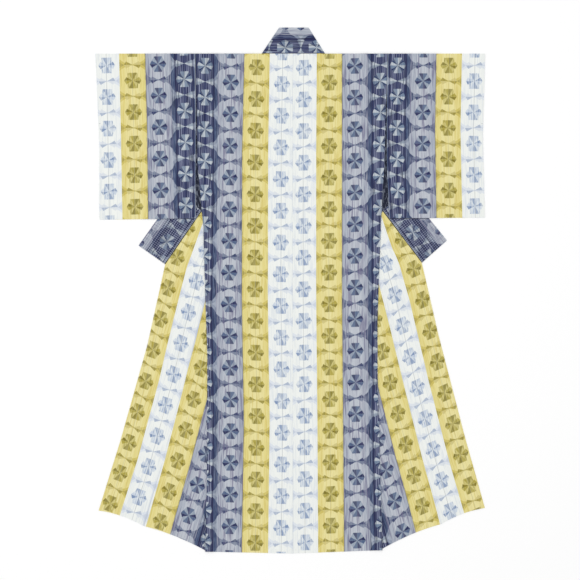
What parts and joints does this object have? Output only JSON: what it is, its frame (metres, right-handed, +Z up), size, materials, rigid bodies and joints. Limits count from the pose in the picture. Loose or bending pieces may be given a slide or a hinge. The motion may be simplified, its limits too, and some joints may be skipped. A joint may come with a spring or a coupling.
{
  "type": "kimono laid flat",
  "caption": "Unlined summer kimono laid flat, back up, fronts folded out beside the back, with deep sleeves and a broad collar.",
  "frame": {"origin": "middle of the garment's box, on the surface that it lies on, under the back panel beside the centre-back seam", "axes": "+Z up from the surface, +Y from the hem to the neck, +X to the right as seen from above"},
  "size_m": [1.2856, 1.7352, 0.0042],
  "materials": {
    "body": "plain-woven cotton, printed in stripes of white, yellow, grey-blue and navy with folded-and-dyed wheels",
    "okumi": "the same cotton, where its yellow and white stripes show",
    "sleeve": "the same cotton, all four stripes",
    "collar": "the same cotton folded double, where its navy and grey-blue stripes show"
  },
  "bodies": {
    "root": {"body_left": "body", "body_right": "body", "okumi_left": "okumi", "okumi_right": "okumi", "sleeve_left": "sleeve", "sleeve_right": "sleeve", "collar_left": "collar", "collar_right": "collar", "collar_neck": "collar"}
  },
  "joints": []
}
